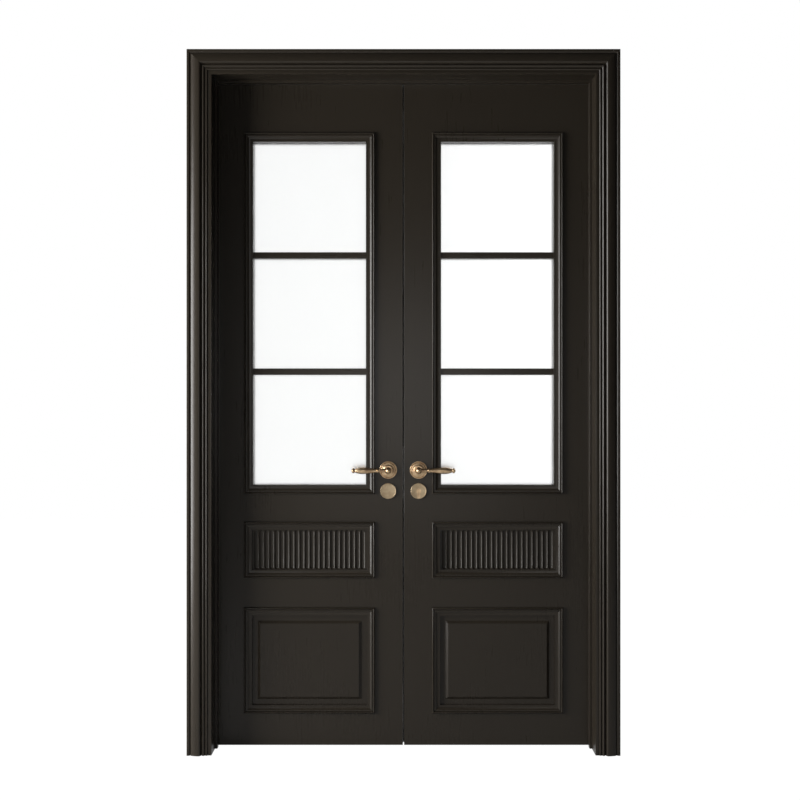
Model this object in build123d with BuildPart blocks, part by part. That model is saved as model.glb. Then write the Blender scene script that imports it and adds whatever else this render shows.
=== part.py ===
from build123d import *
import os
from math import asin, atan, cos, degrees, sin

os.makedirs("parts", exist_ok=True)

# Doorway, jambs and stops. Everything is in millimetres, x across, y from front to rear, z up
doorway_width = 1280
doorway_height = 2270
wall_depth = 140
jamb_thickness = 32
stop_thickness = 8
stop_width = 25
seal_gap = 3
seal_width = 7
seal_clearance = 0.3
fixing_hole_radius = 3.25
fixing_hole_count = 4
fixing_hole_spacing = 450
fixing_line_centre = 1175

# Casing section, measured outward from the doorway and up from the wall
casing_width = 82
casing_height = 22
casing_fillet_width = 10
casing_fillet_height = 12
casing_small_bead_width = 10
casing_small_bead_height = 16
casing_valley_height = 13.5
casing_bead_width = 12
casing_bead_height = 19.5
casing_quirk_width = 1
casing_quirk_height = 14
casing_crest_slope = 4
casing_groove_height = 12
casing_rim_slope = 7
casing_rim_width = 8
casing_rim_height = 16
rear_reveal = 8

# Leaves
leaf_thickness = 45
hinge_gap = 3
head_gap = 3
floor_gap = 5
meeting_gap = 2.5
meeting_bevel = 1.2
edge_round = 1
meeting_stile = 96
hinge_stile = 92
bottom_rail = 109
raised_height = 361
lower_rail = 101
fluted_height = 192
lock_rail = 95
top_rail = 170

# Planted mouldings round the glass and the panels, measured inward from their outer edge
moulding_height = 10
moulding_side = 5
moulding_bead = 8.5
moulding_shelf = 3.5
moulding_shelf_height = 7
moulding_cove = 13
moulding_fillet_height = 2
glass_fillet = 6
panel_fillet = 2.5
moulding_leg = 10

# Glass, glazing bars and panels
glass_thickness = 6
insert_clearance = 1
bar_count = 2
bar_width = 22
bar_setback = 2
bar_chamfer = 4
panel_setback = 7
flute_count = 22
flute_depth = 4.2
flute_flats = 4
flute_arris = 1.2
flute_side_margin = 6.4
flute_end_margin = 1.5
field_margin = 28
field_bevel = 9
field_rise = 6

# Lift-off hinges: the frame's knuckle is the lower one and carries the pin
hinge_length = 100
hinge_plate_thickness = 2.5
hinge_plate_depth = 32
hinge_axis_offset = 10
hinge_knuckle_radius = 6.5
hinge_pin_radius = 3
hinge_pin_length = 40
hinge_pin_clearance = 0.05
hinge_knuckle_gap = 0.4
hinge_from_top = 200
hinge_from_bottom = 230

# Lever handles, roses and escutcheons
handle_height = 945
backset = 50
cylinder_drop = 72
handle_bore_radius = 10
rose_radius = 30
rose_rim_height = 3
rose_height = 10
rose_boss_radius = 13
neck_lift = 1
neck_radius = 9
neck_clearance = 0.1
neck_collar = 3
neck_waist_radius = 6.5
bulb_radius = 10.5
bulb_half_length = 5
bulb_slope = 5
grip_offset = 48
cap_radius = 6
handle_reach = 62
grip_length = 124
grip_neck_start = 20
grip_neck_radius = 5.2
grip_ring_radius = 7.2
grip_ring_place = 35
grip_ring_width = 4
grip_radius = 10.8
grip_swell_start = 80
grip_swell_end = 97
grip_shoulder = 113
knob_radius = 8.6
knob_place = 118
knob_tip_radius = 5
spindle_width = 8
spindle_socket_depth = 14
escutcheon_radius = 27.25
escutcheon_height = 6
escutcheon_bevel = 2
blind_profile_depth = 1

# Lock, strike and cylinder
forend_length = 235
forend_width = 20
forend_thickness = 3
forend_drop = 31
case_thickness = 15
case_depth = 78
case_above = 42
case_below = 110
mortise_clearance = 0.3
spindle_hole_radius = 6
bolt_thickness = 10
bolt_height = 24
bolt_length = 38
latch_rise = 12
deadbolt_drop = 36
deadbolt_travel = 14
bolt_clearance = 0.3
bolt_chamfer = 2
strike_length = 180
strike_thickness = 2.5
pocket_extra = 2
profile_radius = 8.5
profile_tail_width = 10
profile_height = 33
profile_clearance = 0.15
keyway_width = 2.2
keyway_height = 9
keyway_depth = 4
turn_stem_radius = 4
turn_stem_length = 12
turn_clearance = 0.08
turn_gap = 0.5
turn_width = 7
turn_height = 26
turn_reach = 20

# Flush bolts of the left leaf and the keep in the head
flush_plate_length = 150
flush_plate_width = 20
flush_plate_thickness = 3
flush_plate_from_end = 60
flush_housing_length = 80
flush_housing_thickness = 14
flush_housing_depth = 20
flush_rod_radius = 5
flush_rod_clearance = 0.3
flush_rod_depth = 13
flush_travel = 12
flush_button_length = 14
flush_button_width = 6.4
flush_button_inset = 0.3
keep_length = 60
keep_width = 22
keep_thickness = 2.5
keep_pocket_depth = 18
keep_clearance = 0.8

# Places that follow from the sizes. y is zero half way between the casing's crest and the rear handles
overall_depth = casing_height + wall_depth + handle_reach
wall_front = casing_height - overall_depth / 2
wall_rear = wall_front + wall_depth
leaf_rear = wall_rear
leaf_front = leaf_rear - leaf_thickness
leaf_middle = (leaf_front + leaf_rear) / 2
half_doorway = doorway_width / 2
hinge_edge = half_doorway - hinge_gap
meeting_rear = meeting_gap / 2
meeting_front = meeting_rear + meeting_bevel
meeting_face = (meeting_rear + meeting_front) / 2
leaf_width = hinge_edge - meeting_rear
leaf_bottom = floor_gap
leaf_top = doorway_height - head_gap
leaf_height = leaf_top - leaf_bottom
ring_width = leaf_width - meeting_stile - hinge_stile
ring_centre = meeting_rear + meeting_stile + ring_width / 2
moulding_cut = moulding_bead + moulding_shelf + moulding_cove
glass_height = leaf_height - bottom_rail - raised_height - lower_rail - fluted_height - lock_rail - top_rail
raised_bottom = leaf_bottom + bottom_rail
fluted_bottom = raised_bottom + raised_height + lower_rail
glass_bottom = fluted_bottom + fluted_height + lock_rail
hinge_low = leaf_bottom + hinge_from_bottom
hinge_high = leaf_top - hinge_from_top
hinge_heights = (hinge_low, (hinge_low + hinge_high) / 2, hinge_high)
hinge_axis_x = half_doorway - hinge_gap / 2
hinge_axis_y = leaf_rear + hinge_axis_offset
handle_x = meeting_face + backset
cylinder_height = handle_height - cylinder_drop
latch_height = handle_height + latch_rise
deadbolt_height = handle_height - deadbolt_drop
forend_centre = handle_height - forend_drop
strike_centre = (latch_height + deadbolt_height) / 2
case_front = meeting_face + forend_thickness
strike_back = meeting_face + strike_thickness
flush_back = meeting_face + flush_plate_thickness
flush_plate_middle = flush_plate_from_end + flush_plate_length / 2
flush_rod_x = meeting_face + flush_rod_depth

# Faces: the front looks along -y and the rear along +y. Sides: -1 is the left leaf and 1 the right one
front = Vector(0, -1, 0)
rear = Vector(0, 1, 0)
left = -1
right = 1
side_names = {left: "left", right: "right"}


def save(piece, name):
    piece.label = name
    export_step(piece, f"parts/{name}.step")


def block(x, y, z, mode=Mode.ADD):
    # A rectangular solid or cut between two values on each axis
    with Locations(((x[0] + x[1]) / 2, (y[0] + y[1]) / 2, (z[0] + z[1]) / 2)):
        Box(abs(x[1] - x[0]), abs(y[1] - y[0]), abs(z[1] - z[0]), mode=mode)


def face_plane(y, face=front):
    # A sketch plane parallel to the doors, seen from the face named, with its y axis up
    return Plane((0, y, 0), x_dir=Vector(0, 0, 1).cross(face), z_dir=face)


def turning_plane(x, y, z, face):
    # Local x is a radius and local y points out of the face: sections here are revolved about y
    return Plane((x, y, z), x_dir=(1, 0, 0), z_dir=(0, 0, face.Y))


def moulded_run(section, reach, corner, outward, face, length, start_mitred=True, end_mitred=True):
    # One side's moulding: the section's x goes outward from the opening and its y out of the face,
    # and mitred ends run past the corners by the section's reach before they are cut at 45 degrees
    along = outward.cross(face)
    before = reach if start_mitred else 0
    after = reach if end_mitred else 0
    with BuildPart() as run:
        with BuildSketch(Plane(corner - along * before, x_dir=outward, z_dir=along)):
            with BuildLine():
                section()
            make_face()
        extrude(amount=length + before + after)
        if start_mitred:
            split(bisect_by=Plane(corner, z_dir=along + outward), keep=Keep.TOP)
        if end_mitred:
            split(bisect_by=Plane(corner + along * length, z_dir=outward - along), keep=Keep.TOP)
    return run.part


def jambs():
    for side in (left, right):
        with BuildPart() as jamb:
            with BuildSketch(Plane.XY):
                with Locations((side * (half_doorway + jamb_thickness / 2), (wall_front + wall_rear) / 2)):
                    Rectangle(jamb_thickness, wall_depth)
            extrude(amount=doorway_height)
            fixing_point = (side * half_doorway, leaf_middle, fixing_line_centre)
            with Locations(Plane(fixing_point, z_dir=(-side, 0, 0), x_dir=(0, 0, 1))):
                with GridLocations(fixing_hole_spacing, 1, fixing_hole_count, 1):
                    Hole(fixing_hole_radius, depth=jamb_thickness)
            for height in hinge_heights:
                block(
                    (side * half_doorway, side * (half_doorway + hinge_plate_thickness)),
                    (leaf_rear - hinge_plate_depth, leaf_rear),
                    (height - hinge_length / 2, height + hinge_length / 2),
                    Mode.SUBTRACT,
                )
        save(jamb.part, f"jamb_{side_names[side]}")
    with BuildPart() as head:
        with BuildSketch(Plane.XY.offset(doorway_height)):
            with Locations((0, (wall_front + wall_rear) / 2)):
                Rectangle(doorway_width + 2 * jamb_thickness, wall_depth)
        extrude(amount=jamb_thickness)
        with BuildSketch(Plane.XY.offset(doorway_height)):
            with Locations((-flush_rod_x, leaf_middle)):
                Rectangle(keep_length, keep_width)
        extrude(amount=keep_thickness, mode=Mode.SUBTRACT)
        with Locations((-flush_rod_x, leaf_middle, doorway_height + keep_pocket_depth / 2)):
            Cylinder(flush_rod_radius + keep_clearance, keep_pocket_depth, mode=Mode.SUBTRACT)
    save(head.part, "jamb_head")


def stops_and_seals():
    stop_rear = leaf_front - seal_gap
    stop_front = stop_rear - stop_width
    seal_rear = stop_rear + seal_gap - seal_clearance
    seal_inner = half_doorway - stop_thickness
    seal_outer = seal_inner + seal_width
    head_under = doorway_height - stop_thickness
    for side in (left, right):
        with BuildPart() as stop:
            block(
                (side * (half_doorway - stop_thickness), side * half_doorway),
                (stop_front, stop_rear),
                (0, doorway_height),
            )
            front_edges = stop.edges().filter_by(Axis.Z).group_by(Axis.Y)[0]
            fillet(front_edges.sort_by(Axis.X)[0 if side == right else -1], edge_round)
        save(stop.part, f"stop_{side_names[side]}")
    with BuildPart() as stop:
        block(
            (stop_thickness - half_doorway, half_doorway - stop_thickness),
            (stop_front, stop_rear),
            (head_under, doorway_height),
        )
        fillet(stop.edges().filter_by(Axis.X).group_by(Axis.Y)[0].sort_by(Axis.Z)[0], edge_round)
    save(stop.part, "stop_head")
    with BuildPart() as seal:
        for side in (left, right):
            block((side * seal_inner, side * seal_outer), (stop_rear, seal_rear), (leaf_bottom, head_under))
        block((-seal_outer, seal_outer), (stop_rear, seal_rear), (head_under, head_under + seal_width))
    save(seal.part, "frame_seal")


def casing_section():
    # Fillet, small bead, larger bead, quirk, the cushion that falls outward from its crest, and the rim
    valley = casing_fillet_width + casing_small_bead_width
    bead = valley + casing_bead_width
    quirk = bead + casing_quirk_width
    crest = quirk + casing_crest_slope
    rim = casing_width - casing_rim_width
    groove = rim - casing_rim_slope
    Polyline(
        (groove, casing_groove_height),
        (rim, casing_rim_height),
        (casing_width, casing_rim_height),
        (casing_width, 0),
        (0, 0),
        (0, casing_fillet_height),
        (casing_fillet_width, casing_fillet_height),
    )
    ThreePointArc(
        (casing_fillet_width, casing_fillet_height),
        (casing_fillet_width + casing_small_bead_width / 2, casing_small_bead_height),
        (valley, casing_valley_height),
    )
    ThreePointArc(
        (valley, casing_valley_height),
        (valley + casing_bead_width / 2, casing_bead_height),
        (bead, casing_quirk_height),
    )
    Polyline((bead, casing_quirk_height), (quirk, casing_quirk_height), (crest, casing_height))
    TangentArc((crest, casing_height), (groove, casing_groove_height), tangent=(1, 0))


def casings():
    for face, name, wall_y, reveal in ((front, "front", wall_front, 0), (rear, "rear", wall_rear, rear_reveal)):
        half = half_doorway + reveal
        top = doorway_height + reveal
        for side in (left, right):
            outward = Vector(side, 0, 0)
            upward = outward.cross(face).Z > 0
            corner = Vector(side * half, wall_y, 0 if upward else top)
            leg = moulded_run(casing_section, casing_width, corner, outward, face, top, not upward, upward)
            save(leg, f"casing_{name}_{side_names[side]}")
        outward = Vector(0, 0, 1)
        start = Vector(0, wall_y, top) - outward.cross(face) * half
        head = moulded_run(casing_section, casing_width, start, outward, face, 2 * half)
        save(head, f"casing_{name}_head")


def planted_section(fillet_width, seat_depth):
    # The bead is outermost, then a flat shelf, a cove that falls inward and a fillet at the sight
    # edge. A leg goes down inside the leaf's aperture to the glass or the panel that it holds
    outer = fillet_width + moulding_cut
    shelf = outer - moulding_bead
    cove_top = shelf - moulding_shelf
    cove_rise = moulding_shelf_height - moulding_fillet_height
    cove_radius = (moulding_cove**2 + cove_rise**2) / (2 * cove_rise)
    cove_turn = asin(moulding_cove / cove_radius)

    def section():
        Polyline(
            (fillet_width, moulding_fillet_height),
            (0, moulding_fillet_height),
            (0, -seat_depth),
            (moulding_leg, -seat_depth),
            (moulding_leg, 0),
            (outer, 0),
            (outer, moulding_side),
        )
        ThreePointArc(
            (outer, moulding_side),
            (outer - moulding_bead / 2, moulding_height),
            (shelf, moulding_shelf_height),
        )
        Line((shelf, moulding_shelf_height), (cove_top, moulding_shelf_height))
        ThreePointArc(
            (cove_top, moulding_shelf_height),
            (
                fillet_width + cove_radius * sin(cove_turn / 2),
                moulding_fillet_height + cove_radius * (1 - cos(cove_turn / 2)),
            ),
            (fillet_width, moulding_fillet_height),
        )

    return section


def opening(side, bottom, height, fillet_width):
    # Centre, sight width and sight height of one of a leaf's three openings
    border = fillet_width + moulding_cut
    centre = Vector(side * ring_centre, 0, bottom + height / 2)
    return centre, ring_width - 2 * border, height - 2 * border


def glass_opening(side):
    return opening(side, glass_bottom, glass_height, glass_fillet)


def fluted_opening(side):
    return opening(side, fluted_bottom, fluted_height, panel_fillet)


def raised_opening(side):
    return opening(side, raised_bottom, raised_height, panel_fillet)


def moulding_ring(name, place, fillet_width, seat_depth, face):
    centre, width, height = place
    face_y = leaf_front if face.Y < 0 else leaf_rear
    section = planted_section(fillet_width, seat_depth)
    with BuildPart() as ring:
        for outward in (Vector(1, 0, 0), Vector(0, 0, 1), Vector(-1, 0, 0), Vector(0, 0, -1)):
            along = outward.cross(face)
            across, length = (width, height) if outward.X else (height, width)
            corner = Vector(centre.X, face_y, centre.Z) + outward * (across / 2) - along * (length / 2)
            add(moulded_run(section, fillet_width + moulding_cut, corner, outward, face, length))
    save(ring.part, name)


def mouldings(side):
    glass_seat = (leaf_thickness - glass_thickness) / 2
    for face, face_name in ((front, "front"), (rear, "rear")):
        tail = f"{face_name}_{side_names[side]}"
        moulding_ring(f"glass_moulding_{tail}", glass_opening(side), glass_fillet, glass_seat, face)
        moulding_ring(f"fluted_moulding_{tail}", fluted_opening(side), panel_fillet, panel_setback, face)
        moulding_ring(f"raised_moulding_{tail}", raised_opening(side), panel_fillet, panel_setback, face)


def glazing(side):
    centre, width, height = glass_opening(side)
    pane_border = 2 * (moulding_leg - insert_clearance)
    with BuildPart() as pane:
        with Locations((centre.X, leaf_middle, centre.Z)):
            Box(width + pane_border, glass_thickness, height + pane_border)
    save(pane.part, f"glass_pane_{side_names[side]}")
    light = (height - bar_count * bar_width) / (bar_count + 1)
    bars = []
    for face in (front, rear):
        glass_face = leaf_middle + face.Y * glass_thickness / 2
        bar_depth = (leaf_thickness - glass_thickness) / 2 - bar_setback
        for number in range(bar_count):
            bar_centre = centre.Z - height / 2 + (number + 1) * (light + bar_width) - bar_width / 2
            with BuildPart() as bar:
                with BuildSketch(face_plane(glass_face, face)):
                    with Locations((face_plane(glass_face, face).to_local_coords(centre).X, bar_centre)):
                        Rectangle(width, bar_width)
                extrude(amount=bar_depth)
                outer_face = bar.faces().sort_by(Axis.Y)[0 if face.Y < 0 else -1]
                chamfer(outer_face.edges().filter_by(Axis.X), bar_chamfer, bar_chamfer / 2)
            bars.append(bar.part)
    save(Compound(children=bars), f"glazing_bars_{side_names[side]}")


def flute_cutter(middle, chord, length, face):
    # A hollow worked in a few flats, with ends that rise to the panel's face at 45 degrees
    board_face = leaf_middle + face.Y * (leaf_thickness / 2 - panel_setback)
    radius = (chord**2 / 4 + flute_depth**2) / (2 * flute_depth)
    turn = 2 * asin(chord / 2 / radius)
    angles = [turn * (flat / flute_flats - 0.5) for flat in range(flute_flats + 1)]
    hollow = [(radius * sin(angle), -face.Y * (radius * (cos(angle) - 1) + flute_depth)) for angle in angles]
    with BuildPart() as cutter:
        with BuildSketch(Plane((0, board_face, middle - length / 2), x_dir=(1, 0, 0), z_dir=(0, 0, 1))):
            with BuildLine():
                Polyline(*hollow, close=True)
            make_face()
        extrude(amount=length)
        for end in (-1, 1):
            edge = Vector(0, board_face, middle + end * length / 2)
            split(bisect_by=Plane(edge, z_dir=Vector(0, face.Y, -end)), keep=Keep.TOP)
    return cutter.part


def fluted_panel(side):
    centre, width, height = fluted_opening(side)
    border = 2 * (moulding_leg - insert_clearance)
    pitch = (width - 2 * flute_side_margin) / flute_count
    with BuildPart() as panel:
        with Locations((centre.X, leaf_middle, centre.Z)):
            Box(width + border, leaf_thickness - 2 * panel_setback, height + border)
        for face in (front, rear):
            cutter = flute_cutter(centre.Z, pitch - flute_arris, height - 2 * flute_end_margin, face)
            with GridLocations(pitch, 1, flute_count, 1):
                with Locations((centre.X, 0, 0)):
                    add(cutter, mode=Mode.SUBTRACT)
    save(panel.part, f"fluted_panel_{side_names[side]}")


def raised_panel(side):
    centre, width, height = raised_opening(side)
    border = 2 * (moulding_leg - insert_clearance)
    base_margin = field_margin - field_bevel
    with BuildPart() as panel:
        with Locations((centre.X, leaf_middle, centre.Z)):
            Box(width + border, leaf_thickness - 2 * panel_setback, height + border)
        for face in (front, rear):
            plane = face_plane(leaf_middle + face.Y * (leaf_thickness / 2 - panel_setback), face)
            with BuildSketch(plane):
                with Locations((plane.to_local_coords(centre).X, centre.Z)):
                    Rectangle(width - 2 * base_margin, height - 2 * base_margin)
            extrude(amount=field_rise, taper=degrees(atan(field_bevel / field_rise)))
    save(panel.part, f"raised_panel_{side_names[side]}")


def euro_profile(clearance=0):
    # The cylinder's outline: a circle with a tail that hangs below it
    Circle(profile_radius + clearance)
    tail_length = profile_height - profile_radius
    with Locations((0, -tail_length / 2)):
        Rectangle(profile_tail_width + 2 * clearance, tail_length + 2 * clearance)


def leaf_blank(side):
    with BuildPart() as slab:
        with BuildSketch(Plane.XY.offset(leaf_bottom)):
            with BuildLine():
                Polyline(
                    (side * meeting_rear, leaf_rear),
                    (side * meeting_front, leaf_front),
                    (side * hinge_edge, leaf_front),
                    (side * hinge_edge, leaf_rear),
                    close=True,
                )
            make_face()
        extrude(amount=leaf_height)
        fillet(slab.edges().filter_by(Axis.Z), edge_round)
        for centre, width, height in (glass_opening(side), fluted_opening(side), raised_opening(side)):
            with BuildSketch(face_plane(leaf_middle)):
                with Locations((centre.X, centre.Z)):
                    Rectangle(width + 2 * moulding_leg, height + 2 * moulding_leg)
            extrude(amount=leaf_thickness, both=True, mode=Mode.SUBTRACT)
        for height in hinge_heights:
            block(
                (side * (hinge_edge - hinge_plate_thickness), side * hinge_edge),
                (leaf_rear - hinge_plate_depth, leaf_rear),
                (height - hinge_length / 2, height + hinge_length / 2),
                Mode.SUBTRACT,
            )
        with BuildSketch(face_plane(leaf_middle)):
            with Locations((side * handle_x, handle_height)):
                Circle(handle_bore_radius)
        extrude(amount=leaf_thickness, both=True, mode=Mode.SUBTRACT)
    return slab.part


def edge_block(side, start, end, centre, length, width, mode=Mode.ADD):
    # A plate, a housing or the recess for one, let into a leaf's meeting edge
    block(
        (side * start, side * end),
        (leaf_middle - width / 2, leaf_middle + width / 2),
        (centre - length / 2, centre + length / 2),
        mode,
    )


def bolt_ways(side, clearance, depth, mode=Mode.SUBTRACT):
    # The two square ways for the latch and the deadbolt, from the meeting line inward
    for height in (latch_height, deadbolt_height):
        block(
            (0, side * depth),
            (leaf_middle - bolt_thickness / 2 - clearance, leaf_middle + bolt_thickness / 2 + clearance),
            (height - bolt_height / 2 - clearance, height + bolt_height / 2 + clearance),
            mode,
        )


def leaf_right():
    with BuildPart() as slab:
        add(leaf_blank(right))
        edge_block(right, 0, case_front, forend_centre, forend_length, forend_width, Mode.SUBTRACT)
        block(
            (0, case_front + case_depth),
            (leaf_middle - case_thickness / 2, leaf_middle + case_thickness / 2),
            (handle_height - case_below, handle_height + case_above),
            Mode.SUBTRACT,
        )
        with BuildSketch(face_plane(leaf_middle)):
            with Locations((handle_x, cylinder_height)):
                euro_profile(mortise_clearance)
        extrude(amount=leaf_thickness, both=True, mode=Mode.SUBTRACT)
    save(slab.part, "leaf_slab_right")


def flush_places():
    # For the upper and lower flush bolt: name, direction of throw and the leaf's end that it leaves
    return (("upper", 1, leaf_top), ("lower", -1, leaf_bottom))


def leaf_left():
    strike_pocket = strike_back + deadbolt_travel + pocket_extra
    with BuildPart() as slab:
        add(leaf_blank(left))
        edge_block(left, 0, strike_back, strike_centre, strike_length, forend_width, Mode.SUBTRACT)
        bolt_ways(left, keep_clearance, strike_pocket)
        for name, throw, end in flush_places():
            plate_centre = end - throw * flush_plate_middle
            edge_block(left, 0, flush_back, plate_centre, flush_plate_length, flush_plate_width, Mode.SUBTRACT)
            edge_block(
                left,
                0,
                flush_back + flush_housing_depth,
                plate_centre,
                flush_housing_length,
                flush_housing_thickness,
                Mode.SUBTRACT,
            )
            with Locations((-flush_rod_x, leaf_middle, (plate_centre + end) / 2)):
                Cylinder(flush_rod_radius + flush_rod_clearance, abs(end - plate_centre), mode=Mode.SUBTRACT)
    save(slab.part, "leaf_slab_left")


def hinges(side):
    plate_front = leaf_rear - hinge_plate_depth
    plate_rear = hinge_axis_y - hinge_knuckle_radius - hinge_knuckle_gap
    knuckle_length = (hinge_length - hinge_knuckle_gap) / 2
    hinge_axis = (side * hinge_axis_x, hinge_axis_y)
    carriers = (
        ("frame", half_doorway, half_doorway + hinge_plate_thickness, -hinge_length / 2),
        ("leaf", hinge_edge - hinge_plate_thickness, hinge_edge, hinge_length / 2 - knuckle_length),
    )
    for carrier, inner, outer, knuckle_start in carriers:
        with BuildPart() as plates:
            for height in hinge_heights:
                block(
                    (side * inner, side * outer),
                    (plate_front, plate_rear),
                    (height - hinge_length / 2, height + hinge_length / 2),
                )
                with BuildSketch(Plane.XY.offset(height + knuckle_start)):
                    with Locations(hinge_axis):
                        Circle(hinge_knuckle_radius)
                    with Locations((side * (inner + outer) / 2, (plate_front + hinge_axis_y) / 2)):
                        Rectangle(outer - inner, hinge_axis_y - plate_front)
                extrude(amount=knuckle_length)
                knuckle_face = height + knuckle_start + (knuckle_length if carrier == "frame" else 0)
                with BuildSketch(Plane.XY.offset(knuckle_face)):
                    with Locations(hinge_axis):
                        Circle(hinge_pin_radius + (0 if carrier == "frame" else hinge_pin_clearance))
                extrude(amount=hinge_pin_length, mode=Mode.ADD if carrier == "frame" else Mode.SUBTRACT)
        save(plates.part, f"hinge_{carrier}_plates_{side_names[side]}")


def rose(side, face):
    face_y = leaf_front if face.Y < 0 else leaf_rear
    bore = neck_radius + neck_clearance
    with BuildPart() as part:
        with BuildSketch(turning_plane(side * handle_x, face_y, handle_height, face)):
            with BuildLine():
                Polyline(
                    (bore, 0),
                    (rose_radius, 0),
                    (rose_radius, rose_rim_height),
                    (rose_boss_radius, rose_height),
                    (bore, rose_height),
                    close=True,
                )
            make_face()
        revolve(axis=Axis((side * handle_x, face_y, handle_height), (0, 1, 0)))
    return part.part


def lever(side, face):
    face_y = leaf_front if face.Y < 0 else leaf_rear
    grip_y = face_y + face.Y * grip_offset
    axis_point = (side * handle_x, face_y, handle_height)
    grip_point = (side * handle_x, grip_y, handle_height)
    neck_foot = (side * handle_x, face_y + face.Y * neck_lift, handle_height)
    with BuildPart() as part:
        with BuildSketch(turning_plane(*axis_point, face)):
            with BuildLine():
                Polyline(
                    (0, neck_lift),
                    (neck_radius, neck_lift),
                    (neck_radius, rose_height + neck_collar),
                    (neck_waist_radius, grip_offset - bulb_half_length - bulb_slope),
                    (bulb_radius, grip_offset - bulb_half_length),
                    (bulb_radius, grip_offset + bulb_half_length),
                    (cap_radius, handle_reach),
                    (0, handle_reach),
                    close=True,
                )
            make_face()
        revolve(axis=Axis(axis_point, (0, 1, 0)))
        with BuildSketch(Plane(grip_point, x_dir=(side, 0, 0), z_dir=(0, -side, 0))):
            with BuildLine():
                Polyline(
                    (0, 0),
                    (0, neck_waist_radius),
                    (bulb_radius, neck_waist_radius),
                    (grip_neck_start, grip_neck_radius),
                    (grip_ring_place - grip_ring_width / 2, grip_neck_radius),
                    (grip_ring_place, grip_ring_radius),
                    (grip_ring_place + grip_ring_width / 2, grip_neck_radius),
                    (grip_swell_start, grip_radius),
                    (grip_swell_end, grip_radius),
                    (grip_shoulder, grip_neck_radius),
                    (knob_place, knob_radius),
                    (grip_length, knob_tip_radius),
                    (grip_length, 0),
                    close=True,
                )
            make_face()
        revolve(axis=Axis(grip_point, (1, 0, 0)))
        with BuildSketch(Plane(neck_foot, x_dir=(1, 0, 0), z_dir=face)):
            Rectangle(spindle_width, spindle_width)
        extrude(amount=spindle_socket_depth, mode=Mode.SUBTRACT)
    return part.part


def escutcheon(side, face, bored):
    face_y = leaf_front if face.Y < 0 else leaf_rear
    centre = (side * handle_x, face_y, cylinder_height)
    with BuildPart() as part:
        with BuildSketch(turning_plane(*centre, face)):
            with BuildLine():
                Polyline(
                    (0, 0),
                    (escutcheon_radius, 0),
                    (escutcheon_radius, escutcheon_height - escutcheon_bevel),
                    (escutcheon_radius - escutcheon_bevel, escutcheon_height),
                    (0, escutcheon_height),
                    close=True,
                )
            make_face()
        revolve(axis=Axis(centre, (0, 1, 0)))
        depth = escutcheon_height if bored else blind_profile_depth
        with BuildSketch(face_plane(face_y + face.Y * (escutcheon_height - depth))):
            with Locations((side * handle_x, cylinder_height)):
                euro_profile(profile_clearance)
        extrude(amount=depth if face.Y < 0 else -depth, mode=Mode.SUBTRACT)
    return part.part


def handles(side):
    name = side_names[side]
    bored = side == right
    plates = [escutcheon(side, front, bored), escutcheon(side, rear, bored)]
    save(Compound(children=[rose(side, front), rose(side, rear)]), f"roses_{name}")
    save(Compound(children=plates), f"escutcheons_{name}")
    save(Compound(children=[lever(side, front), lever(side, rear)]), f"levers_{name}")
    spindle_front = leaf_front - neck_lift - spindle_socket_depth
    spindle_rear = leaf_rear + neck_lift + spindle_socket_depth
    with BuildPart() as spindle:
        with BuildSketch(face_plane(spindle_rear)):
            with Locations((side * handle_x, handle_height)):
                Rectangle(spindle_width, spindle_width)
        extrude(amount=spindle_rear - spindle_front)
    save(spindle.part, f"spindle_{name}")


def lock():
    with BuildPart() as forend:
        edge_block(right, meeting_face, case_front, forend_centre, forend_length, forend_width)
        bolt_ways(right, bolt_clearance, case_front)
    save(forend.part, "lock_forend")
    half_case = case_thickness / 2 - mortise_clearance
    with BuildPart() as case:
        block(
            (case_front, case_front + case_depth - mortise_clearance),
            (leaf_middle - half_case, leaf_middle + half_case),
            (handle_height - case_below + mortise_clearance, handle_height + case_above - mortise_clearance),
        )
        bolt_ways(right, bolt_clearance, meeting_face + bolt_length + bolt_clearance)
        with BuildSketch(face_plane(leaf_middle)):
            with Locations((handle_x, handle_height)):
                Circle(spindle_hole_radius)
            with Locations((handle_x, cylinder_height)):
                euro_profile(profile_clearance)
        extrude(amount=case_thickness, both=True, mode=Mode.SUBTRACT)
    save(case.part, "lock_case")
    for name, height in (("latch_bolt", latch_height), ("dead_bolt", deadbolt_height)):
        with BuildPart() as bolt:
            block(
                (meeting_face, meeting_face + bolt_length),
                (leaf_middle - bolt_thickness / 2, leaf_middle + bolt_thickness / 2),
                (height - bolt_height / 2, height + bolt_height / 2),
            )
            nose = bolt.faces().sort_by(Axis.X)[0]
            if name == "latch_bolt":
                chamfer(nose.edges().filter_by(Axis.Z), bolt_chamfer)
        save(bolt.part, name)
    with BuildPart() as strike:
        edge_block(left, meeting_face, strike_back, strike_centre, strike_length, forend_width)
        bolt_ways(left, keep_clearance, strike_back)
    save(strike.part, "strike_plate")


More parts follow.
